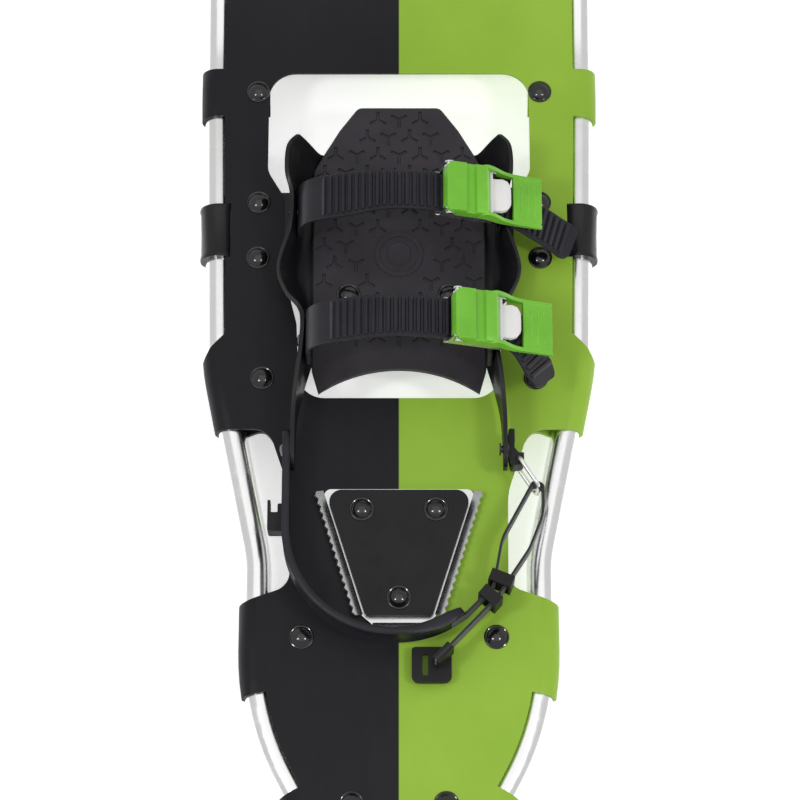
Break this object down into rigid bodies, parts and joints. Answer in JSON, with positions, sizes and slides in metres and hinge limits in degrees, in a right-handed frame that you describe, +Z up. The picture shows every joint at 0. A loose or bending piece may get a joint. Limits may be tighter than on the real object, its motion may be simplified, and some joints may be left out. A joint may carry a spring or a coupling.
{
  "type": "snowshoe",
  "caption": "Tubular aluminium snowshoe with a riveted sheet deck, sprung toe pivot, crampons, two ratchet straps and a heel strap.",
  "frame": {"origin": "on the ground under the centre of the bounding box, between toe and tail", "axes": "+X to the wearer's right, +Y towards the toe, +Z up"},
  "size_m": [0.2348, 0.762, 0.1115],
  "materials": {
    "anodised_tube": "satin silver anodised",
    "steel": "brushed stainless",
    "black_rubber": "matt",
    "deck_sheet": "coated sheet, green right half, black left",
    "black_rivet": "gloss black",
    "band_urethane": "semi gloss",
    "black_plastic": "matt",
    "grey_plastic": "fine grain",
    "wing_urethane": "satin",
    "strap_urethane": "satin blue black",
    "green_plastic": "semi gloss",
    "white_plastic": "semi gloss",
    "webbing": "woven"
  },
  "bodies": {
    "frame": {"frame_tube": "anodised_tube", "tail_plate": "steel", "tail_rivets": "steel", "tube_end_plugs": "black_rubber", "deck": "deck_sheet", "deck_rivets": "black_rivet", "pivot_band_left": "band_urethane", "pivot_band_right": "band_urethane", "band_rivets": "black_rivet", "heel_cleat": "steel", "heel_pad": "black_plastic", "heel_crampon": "steel", "heel_rivets": "black_rivet"},
    "binding": {"pivot_band_center": "band_urethane", "foot_plate": "grey_plastic", "toe_crampon": "steel", "plate_rivets": "black_rivet", "wing_left": "wing_urethane", "wing_right": "wing_urethane", "strap_rivets": "steel", "arm_rivets": "steel"},
    "toe_strap": {"toe_ladder_strap": "strap_urethane", "toe_base_strap": "strap_urethane", "toe_chassis": "steel", "toe_buckle_pins": "steel"},
    "toe_lever": {"toe_lever": "green_plastic"},
    "toe_release": {"toe_release_tab": "white_plastic"},
    "instep_strap": {"instep_ladder_strap": "strap_urethane", "instep_base_strap": "strap_urethane", "instep_chassis": "steel", "instep_buckle_pins": "steel"},
    "instep_lever": {"instep_lever": "green_plastic"},
    "instep_release": {"instep_release_tab": "white_plastic"},
    "heel_strap": {"heel_strap": "strap_urethane", "heel_webbing": "webbing", "strap_keepers": "black_plastic", "hook_ring": "steel", "hook_clip": "black_plastic", "side_clip": "black_plastic", "pull_tab": "black_plastic"}
  },
  "joints": [
    {"name": "binding_pivot", "type": "hinge", "parent": "frame", "child": "binding", "pos_m": [0, 0.0765, 0.0378], "axis": [-1, 0, 0], "range_deg": [0, 50], "stiffness_Nm_per_rad": 1.5},
    {"name": "toe_strap_swing", "type": "hinge", "parent": "binding", "child": "toe_strap", "pos_m": [0, 0.078, 0.062], "axis": [1, 0, 0], "range_deg": [-8, 8]},
    {"name": "toe_lever_hinge", "type": "hinge", "parent": "toe_strap", "child": "toe_lever", "pos_m": [0.02855, 0.078, 0.09791], "axis": [0, -1, 0], "range_deg": [0, 60], "stiffness_Nm_per_rad": 0.02},
    {"name": "toe_release_hinge", "type": "hinge", "parent": "toe_strap", "child": "toe_release", "pos_m": [0.05228, 0.078, 0.08853], "axis": [0, 1, 0], "range_deg": [0, 8], "stiffness_Nm_per_rad": 0.05},
    {"name": "instep_strap_swing", "type": "hinge", "parent": "binding", "child": "instep_strap", "pos_m": [0, -0.0025, 0.066], "axis": [1, 0, 0], "range_deg": [-12, 12]},
    {"name": "instep_lever_hinge", "type": "hinge", "parent": "instep_strap", "child": "instep_lever", "pos_m": [0.03266, -0.0025, 0.10668], "axis": [0, -1, 0], "range_deg": [0, 60], "stiffness_Nm_per_rad": 0.02},
    {"name": "instep_release_hinge", "type": "hinge", "parent": "instep_strap", "child": "instep_release", "pos_m": [0.05638, -0.0025, 0.0973], "axis": [0, 1, 0], "range_deg": [0, 8], "stiffness_Nm_per_rad": 0.05},
    {"name": "heel_strap_swing", "type": "hinge", "parent": "binding", "child": "heel_strap", "pos_m": [0, -0.065, 0.06], "axis": [-1, 0, 0], "range_deg": [0, 55]}
  ]
}
